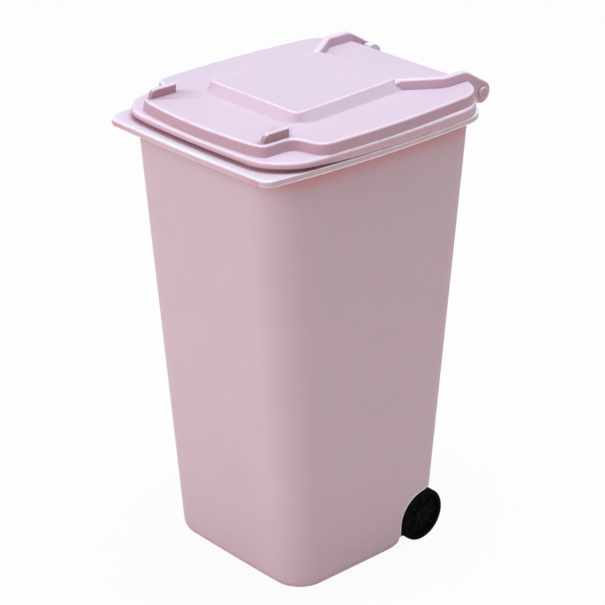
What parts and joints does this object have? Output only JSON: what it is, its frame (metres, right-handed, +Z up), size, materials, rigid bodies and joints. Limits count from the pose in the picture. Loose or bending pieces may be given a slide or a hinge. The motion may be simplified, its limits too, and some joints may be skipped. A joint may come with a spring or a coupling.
{
  "type": "countertop bin with hinged lid",
  "caption": "Small tapered countertop bin with a rear-hinged stepped lid, moulded carrying bar and a pair of rear wheels on an axle.",
  "frame": {"origin": "on the ground, in the middle of the overall width and depth", "axes": "+Z up, the front of the bin faces -Y and the hinge and wheels are at +Y, +X is the bin's left-to-right axis as seen from the front"},
  "size_m": [0.0778, 0.0998, 0.1538],
  "materials": {
    "pink_plastic": "satin",
    "black_plastic": "semi-gloss",
    "axle_steel": "drawn"
  },
  "bodies": {
    "bin": {"bin_body": "pink_plastic", "hinge_pin_left": "pink_plastic", "hinge_pin_right": "pink_plastic"},
    "lid": {"lid": "pink_plastic"},
    "wheelset": {"axle": "axle_steel", "wheel_left": "black_plastic", "wheel_right": "black_plastic"}
  },
  "joints": [
    {"name": "lid_hinge", "type": "hinge", "parent": "bin", "child": "lid", "pos_m": [0, 0.04645, 0.1454], "axis": [-1, 0, 0], "range_deg": [0, 255]},
    {"name": "wheels_spin", "type": "hinge", "parent": "bin", "child": "wheelset", "pos_m": [0, 0.02095, 0.0089], "axis": [1, 0, 0], "continuous": true}
  ]
}
